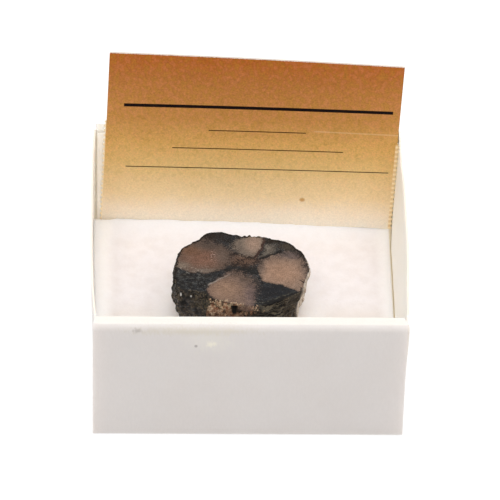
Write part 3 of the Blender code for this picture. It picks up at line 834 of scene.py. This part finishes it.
def distance_to(points, places, closed):
    """Return how far each place is from a line of points, both in millimetres."""
    ends = points[1:] + points[:1] if closed else points[1:]
    nearest = np.full(len(places), np.inf)
    for start, end in zip(points, ends):
        start = np.array(start)
        run = np.array(end) - start
        share = np.clip((places - start) @ run / (run @ run), 0.0, 1.0)
        away = np.linalg.norm(places - start - share[:, None] * run, axis=1)
        nearest = np.minimum(nearest, away)
    return nearest


def depth_inside(points, places):
    """Return how far each place is inside a closed outline, and below 0 outside it."""
    inside = np.zeros(len(places), bool)
    for start, end in zip(points, points[1:] + points[:1]):
        spans = (start[1] > places[:, 1]) != (end[1] > places[:, 1])
        slope = (end[0] - start[0]) / (end[1] - start[1] or 1e-9)
        inside ^= spans & (places[:, 0] < start[0] + (places[:, 1] - start[1]) * slope)
    return np.where(inside, 1.0, -1.0) * distance_to(points, places, True)


def give(piece, name, values):
    """Store one number for each vertex of a piece under a name."""
    attribute = piece.data.attributes.new(name, "FLOAT", "POINT")
    attribute.data.foreach_set("value", np.asarray(values, np.float32))


def smooth(share):
    """Go from 0 to 1 with an even ease in and out, for a whole array."""
    share = np.clip(share, 0.0, 1.0)
    return share * share * (3.0 - 2.0 * share)


count = len(stone.data.vertices)
places = np.empty(count * 3, np.float32)
normals = np.empty(count * 3, np.float32)
stone.data.vertices.foreach_get("co", places)
stone.data.vertices.foreach_get("normal", normals)
places = places.reshape(-1, 3).astype(float) / MM
normals = normals.reshape(-1, 3).astype(float)
flat = places[:, :2]
on_top = np.clip((places[:, 2] - TOP_Z + 0.5) / 0.3, 0, 1)
cut = np.clip((normals[:, 2] - 0.8) / 0.15, 0, 1) * on_top
out = flat - HUB
radius = np.linalg.norm(out, axis=1)
outward = out / np.maximum(radius, 0.01)[:, None]
bearing = np.degrees(np.arctan2(out[:, 1], out[:, 0])) % 360.0
down = (TOP_Z - places[:, 2]) / (TOP_Z - FOOT_Z)


def facing_way(centre, reach):
    """Return 1 where the stone faces a bearing, fading to 0 at the reach on each side."""
    turn = np.abs((bearing - centre + 180.0) % 360.0 - 180.0)
    return smooth(1.0 - turn / reach)


# How far in from the rim of the cut face each vertex is
SECTOR = 2.0
sectors = (bearing / SECTOR).astype(int)
rim_reach = np.zeros(int(360.0 / SECTOR))
np.maximum.at(rim_reach, sectors[cut > 0.5], radius[cut > 0.5])
sector_middles = (np.arange(len(rim_reach)) + 0.5) * SECTOR
from_rim = np.interp(bearing, sector_middles, rim_reach, period=360.0) - radius

# The rim is fitted first, then the broken faces get their relief
near_rim = smooth(1.0 - from_rim / RIM_REACH) * smooth(1.0 - down * 3.0)
rim_out = np.array(RIM) - HUB
rim_ways = np.degrees(np.arctan2(rim_out[:, 1], rim_out[:, 0])) - RIM_START
rim_lengths = np.linalg.norm(rim_out, axis=1) - RIM_INSET
wanted = np.interp((bearing - RIM_START) % 360.0, rim_ways % 360.0, rim_lengths, -1.0, -1.0)
swell = np.where(wanted > 0.0, wanted - radius - from_rim, 0.0) * near_rim
slim = SLIM_DEPTH * facing_way(*SLIM_WAY) * np.sin(np.pi * np.clip(down * 1.3, 0, 1))
moved = places.copy()
moved[:, :2] += outward * (swell - slim)[:, None]
fitted = moved[:, :2].copy()
broken_back = facing_way(*BROKEN_BACK)
broken_front = facing_way(*BROKEN_FRONT)
even = np.clip(facing_way(*EVEN_SIDE) * 3.0, 0, 1)
for index in range(count):
    place = Vector(places[index])
    side = Vector((outward[index][0], outward[index][1], 0.0))
    teeth = sum(noise.noise(side * radius[index] * size) * share for size, share in TEETH)
    moved[index] += side * (teeth * TOOTH_SIZE * (0.1 + broken_back[index]) * near_rim[index])
    if cut[index] > 0.99:
        continue
    ridges = 0.5 - abs(noise.noise(place * RIDGES))
    grit = noise.noise(place * GRIT)
    chunks = noise.noise(place * CHUNKS + CHUNKS_FROM) * (1.0 + broken_front[index])
    notch = ease(1.0 - (place - NOTCH).length / NOTCH_REACH)
    relief = ridges * RIDGE_HEIGHT + grit * GRIT_HEIGHT + chunks * CHUNK_HEIGHT
    relief = relief - RELIEF_SINK - notch * NOTCH_DEPTH
    fade = (1.0 - cut[index]) * ease((down[index] + 0.02) / 0.1) * (1.0 - 0.75 * even[index])
    moved[index] += normals[index] * relief * fade
stone.data.vertices.foreach_set("co", (moved * MM).astype(np.float32).ravel())
stone.data.update()

# The places wander a little before they are set against the outlines, so that edges are ragged
# (noise_vector isn't used, because it starts from the clock and so differs from run to run)
wander = np.zeros((count, 2))
for lumps, reach in WANDERS:
    spots = [Vector(place) * lumps for place in places]
    wander += np.array([(noise.noise(at), noise.noise(at + SECOND_WAY)) for at in spots]) * reach
wandered = fitted + wander
give(stone, "cut", cut)
give(stone, "rim", from_rim + wander[:, 0])
for name, (outline, sharp, soft, soft_way) in LOBE_EDGES.items():
    middle = np.mean(outline, axis=0)
    way = np.arctan2(*(fitted - middle).T[::-1])
    to_soft = smooth((np.cos(way - math.radians(soft_way)) + 0.3) / 1.1)
    depth = depth_inside(outline, wandered)
    give(stone, name, np.clip(depth / (sharp + (soft - sharp) * to_soft), -4.0, 4.0))
for name, line in (("crack", CRACK), ("seam", SEAM), ("vein", PALE_VEIN)):
    give(stone, name, distance_to(line, wandered, False))
for name, (middle, reach, sharpness) in FLANK_FACES.items():
    give(stone, name, np.clip(facing_way(middle, reach) * sharpness, 0, 1))

rock = Finish("chiastolite_stone", Specular_IOR_Level=0.15, Coat_Roughness=0.2)


def stored(name):
    """Return a number that the stone stores under a name."""
    return rock.node("ShaderNodeAttribute", {"attribute_name": name}, {}, "Fac")


def streaks_from(centre, count, stretch):
    """Return streaks that run out from a point of the cut face, as fibres do."""
    out_x = rock.x - centre[0]
    out_y = rock.y - centre[1]
    away = (out_x ** 2 + out_y ** 2) ** 0.5
    sockets = {0: out_x / away * count, 1: out_y / away * count, 2: away * stretch}
    return rock.noise(1.0, 3.0, rock.node("ShaderNodeCombineXYZ", {}, sockets))


def tinted(colour, tints):
    """Lay soft-edged tints over a colour: place, reach, colour and strength of each."""
    for centre, reach, tint, strength in tints:
        colour = rock.mix(rock.spot(centre, reach, 0.75, wavering) * strength, colour, tint)
    return colour


# The colours here are as the stone looks in soft light, and this share of them is its own
OWN_SHARE = 0.65
grain = rock.noise(1.4, 5.0)
fine = rock.noise(5.0, 3.0)
dust = rock.noise(10.0, 2.0)
wavering = (grain - 0.5) * 1.2
rough_edge = (grain - 0.5) * 2.4 + (fine - 0.5) * 3.4

COAL_BLUE = paint(37, 41, 45)
COAL_BLACK = paint(24, 23, 23)
COAL_GREY = paint(84, 84, 82)
GLITTER = paint(116, 118, 118)
coal = rock.over(
    rock.mix(rock.between(grain, 0.36, 0.60), COAL_BLACK, COAL_BLUE),
    (rock.between(fine, 0.55, 0.68) * 0.5, COAL_GREY),
    (rock.between(rock.noise(7.0, 2.0), 0.56, 0.67) * 0.55, GLITTER),
)
coal = tinted(coal, (
    ((-4.6, 5.3), (1.9, 0.9), paint(48, 38, 34), 0.7),
    ((5.5, 3.4), (1.2, 0.7), paint(78, 68, 56), 0.7),
    ((3.5, 4.5), (1.2, 0.5), paint(46, 38, 30), 0.8),
    ((-8.7, -2.8), (1.2, 0.7), paint(62, 60, 57), 0.6),
    ((3.2, -5.6), (2.4, 1.5), paint(27, 30, 35), 0.85),
    ((-1.0, -1.4), (3.0, 0.7), paint(27, 28, 28), 0.85),
))
layers = rock.noise(1.0, 3.0, rock.drawn(0.7, 2.1, 0.4))
layered = rock.spot((-7.6, -3.2), (2.6, 1.6), 0.5, wavering) * rock.between(layers, 0.50, 0.64)
clots = rock.noise(2.6, 3.0, roughness=0.7)
grainy = rock.spot((-6.8, -3.6), (3.2, 1.9), 0.5, wavering)
mottled = rock.between(fine + (grain - 0.5), 0.38, 0.6)
mottle = rock.mix(mottled, paint(52, 41, 35), paint(104, 80, 66))
cross = rock.over(
    coal,
    (layered * 0.4, paint(104, 104, 100)),
    (grainy * rock.between(clots, 0.58, 0.66) * 0.4, paint(106, 106, 103)),
    (grainy * (1 - rock.between(clots, 0.44, 0.51)) * 0.9, paint(16, 16, 17)),
    (rock.spot((-0.5, 0.6), (2.3, 1.25), 0.5, wavering) * 0.9, mottle),
)
LOBE_COLOURS = (
    ("sliver", paint(112, 105, 96), (
        ((2.8, 2.9), (0.7, 1.1), paint(132, 122, 110), 0.8),
    )),
    ("left", paint(106, 88, 77), (
        ((-5.8, 0.8), (2.3, 1.6), paint(129, 94, 77), 0.9),
        ((-7.4, 2.5), (1.4, 1.0), paint(118, 86, 66), 0.8),
        ((-3.2, 1.4), (1.0, 1.4), paint(110, 94, 84), 0.8),
        ((-5.0, 3.6), (1.6, 0.8), paint(96, 82, 74), 0.8),
        ((-8.6, -0.5), (1.0, 0.6), paint(132, 116, 102), 0.9),
        ((-5.6, -1.6), (1.8, 0.35), paint(128, 114, 102), 0.8),
    )),
    ("top", paint(130, 116, 104), (
        ((0.9, 3.9), (1.0, 1.7), paint(168, 142, 124), 0.9),
    )),
    ("right", paint(148, 124, 108), (
        ((4.4, -1.9), (2.6, 2.1), paint(168, 134, 111), 0.9),
        ((1.7, -0.8), (0.6, 1.9), paint(112, 96, 86), 0.85),
        ((5.9, 1.7), (1.9, 0.8), paint(112, 98, 94), 0.9),
        ((7.6, -1.0), (0.6, 1.8), paint(134, 114, 102), 0.7),
    )),
    ("bottom", paint(128, 105, 92), (
        ((-3.0, -5.3), (1.7, 1.9), paint(152, 122, 101), 0.9),
        ((0.2, -3.3), (1.2, 1.2), paint(96, 82, 73), 0.7),
        ((0.5, -6.4), (0.8, 2.1), paint(114, 96, 93), 0.8),
    )),
)
for name, base, tints in LOBE_COLOURS:
    within = rock.between(stored(name) + rough_edge, -1.2, 1.2)
    heart = rock.between(stored(name) + wavering, 0.6, 3.6)
    cross = rock.mix(within, cross, rock.shade(tinted(base, tints), 0.82 + heart * 0.2))
fibres = streaks_from((4.6, -1.6), 16.0, 0.5)
frayed = (1 - rock.between(stored("rim"), 0.3, 1.3)) * rock.between(fibres, 0.52, 0.60)
frayed = frayed * rock.between(rock.x, 5.4, 6.6)
seam = 1 - rock.between(stored("seam") + (fine - 0.5) * 0.3, 0.1, 0.32)
crack = 1 - rock.between(stored("crack") + (fine - 0.5) * 0.2, 0.06, 0.24)
vein = 1 - rock.between(stored("vein") + (fine - 0.5) * 0.3, 0.05, 0.22)
vein = vein * (0.75 - rock.between(rock.x, -4.6, -2.4) * 0.5)
specks = rock.spot((-4.6, 1.2), (0.45, 1.1), 0.6) * rock.between(fine, 0.56, 0.64)
sugary = rock.spot((-7.2, -1.3), (2.6, 0.8), 0.5, wavering) * rock.between(clots, 0.54, 0.66)
at_rim = stored("rim") + (fine - 0.5) * 0.6
lip = rock.between(at_rim, 0.34, 0.42) * (1 - rock.between(at_rim, 0.5, 0.62))
lip = lip * stored("striped") * rock.between(grain, 0.42, 0.5)
edge = 1 - rock.between(at_rim - stored("striped") * 0.15, 0.1, 0.3)
edge = edge * (0.9 - stored("pale") * 0.6) * (1 - stored("rusty"))
cross = rock.over(
    cross,
    (frayed * 0.85, COAL_BLACK),
    (seam * 0.9, COAL_BLACK),
    (crack * 0.85, paint(58, 37, 32)),
    (vein, paint(168, 156, 146)),
    (specks * 0.8, paint(190, 160, 148)),
    (rock.between(dust, 0.64, 0.76) * 0.4, paint(170, 160, 150)),
    (sugary * 0.5, paint(176, 164, 150)),
    (lip * 0.7, paint(96, 92, 78)),
    (edge, paint(22, 20, 18)),
)

SLATE_DARK = paint(13, 12, 11)
SLATE_GREEN = paint(57, 48, 38)
SLATE_PALE = paint(108, 98, 82)
lumps = rock.noise(1.5, 2.0)
ACROSS_LAYERS = (0.25, -0.55, 1.0)
ALONG_LAYERS = (0.80, 0.50, 0.10)
over = rock.dot(rock.place, ACROSS_LAYERS) * 3.2
along = rock.dot(rock.place, ALONG_LAYERS) * 0.4
bands = rock.noise(1.0, 3.0, rock.node("ShaderNodeCombineXYZ", {}, {0: over, 1: along}))
banding = rock.mix(rock.between(bands, 0.42, 0.60), paint(20, 18, 16), paint(114, 106, 90))
olive = rock.spot((-6.2, 10.9), (1.1, 1.3), 0.7, wavering, (rock.x, rock.z))
olive = olive * rock.between(0 - rock.y, 4.5, 5.5) * rock.between(clots, 0.44, 0.54)
at_right = stored("striped") * rock.between(rock.x, 4.4, 6.0)
pale_streaks = rock.noise(1.0, 3.0, rock.drawn(2.8, 1.6, 0.5))
pale = rock.mix(rock.between(pale_streaks, 0.36, 0.54), paint(168, 150, 132), paint(240, 227, 211))
flank = rock.over(
    rock.mix(rock.between(grain + (fine - 0.5) * 0.6, 0.42, 0.64), SLATE_DARK, SLATE_GREEN),
    (rock.between(fine, 0.57, 0.66) * 0.7, paint(126, 110, 90)),
    (rock.between(lumps, 0.55, 0.62) * 0.4, SLATE_PALE),
    ((1 - rock.between(lumps, 0.42, 0.49)) * 0.85, SLATE_DARK),
    (olive * 0.5, paint(108, 97, 74)),
    (stored("striped"), banding),
    (at_right * 0.4, paint(124, 112, 98)),
    (stored("pale"), pale),
)
over_edge = rock.spot((0.0, -8.4), (1.5, 1.0), 0.5, wavering) * rock.between(rock.z, 10.5, 11.2)
shown = rock.node("ShaderNodeMath", {"operation": "MAXIMUM"}, {0: stored("cut"), 1: over_edge})
rock_colour = rock.mix(shown, flank, cross)

CRUST = (
    (0.30, paint(30, 25, 22)),
    (0.40, paint(144, 97, 74)),
    (0.50, paint(186, 153, 122)),
    (0.56, paint(210, 192, 164)),
    (0.59, paint(140, 98, 70)),
    (0.70, paint(34, 29, 26)),
)
crumbs = rock.noise(2.1, 5.0, roughness=0.75)
clods = rock.noise(1.3, 4.0, roughness=0.6)
crust_height = rock.z + (grain - 0.5) * 1.5
pale_crumbs = rock.between(crust_height, 10.9, 11.7) * rock.between(crumbs, 0.50, 0.60)
crust_colour = rock.over(
    rock.node("ShaderNodeValToRGB", {"stops": CRUST}, {0: crumbs}),
    (rock.between(clods, 0.52, 0.60) * 0.5, paint(132, 74, 52)),
    ((1 - rock.between(clods, 0.40, 0.47)) * 0.8, paint(34, 27, 22)),
    (pale_crumbs * 0.5, paint(208, 186, 146)),
    ((1 - rock.between(crust_height, 10.2, 11.3)) * 0.6, paint(80, 52, 32)),
)
crust_line = 6.85 + (rock.x + 5.0) * 0.26
past_line = 0 - rock.y - crust_line + (grain - 0.5) * 1.8 + (fine - 0.5) * 1.6
over_rim = rock.between(past_line, 0.0, 0.4)
crust = rock.between(stored("rusty") + (grain - 0.5) * 2.2, 0.3, 0.7) * over_rim
crust = crust * (1 - rock.spot((-0.2, 11.4), (0.9, 0.9), 0.5, wavering, (rock.x, rock.z)) * 0.8)
rock_colour = rock.mix(crust, rock_colour, crust_colour)
notch_width = 0.24 + (rock.z - 10.2) * 0.14 - abs(rock.x - NOTCH.x + wavering * 0.2)
notched = rock.between(notch_width, -0.12, 0.1) * rock.between(rock.z, 10.1, 10.5)
notched = notched * (1 - rock.between(rock.z, 11.6, 11.8))
notched = notched * rock.between(0 - rock.y, 7.2, 7.6)
rock_colour = rock.mix(notched, rock_colour, paint(20, 17, 15))
# Two small glints on the front left, painted in white: middle and reach in x and z
PAINTED_GLINTS = (((-8.68, 11.05), (0.1, 0.24)), ((-7.36, 11.1), (0.1, 0.14)))
GLINT_WHITE = paint(250, 248, 244)
for centre, reach in PAINTED_GLINTS:
    glint = rock.spot(centre, reach, 0.4, across=(rock.x, rock.z))
    glint = glint * rock.between(0 - rock.y, 4.6, 4.9)
    rock_colour = rock.mix(glint, rock_colour, GLINT_WHITE)
shades = OWN_SHARE * (grain + fine * 1.5 + dust * 0.9 - 0.7)
rock.feed("Base Color", rock.shade(rock_colour, shades))
rock.feed("Roughness", 0.62 + (grain - 0.5) * 0.3 - stored("shiny") * (1 - stored("cut")) * 0.25)
rock.feed("Coat Weight", stored("shiny") * (1 - stored("cut")) * 0.4)
rock.bump((grain * 0.6 + fine * 0.4) * (1 - stored("cut") * 0.7), 0.14 * MM)
stone.data.materials.append(rock.material)
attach(stone, "root")
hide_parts("chiastolite")
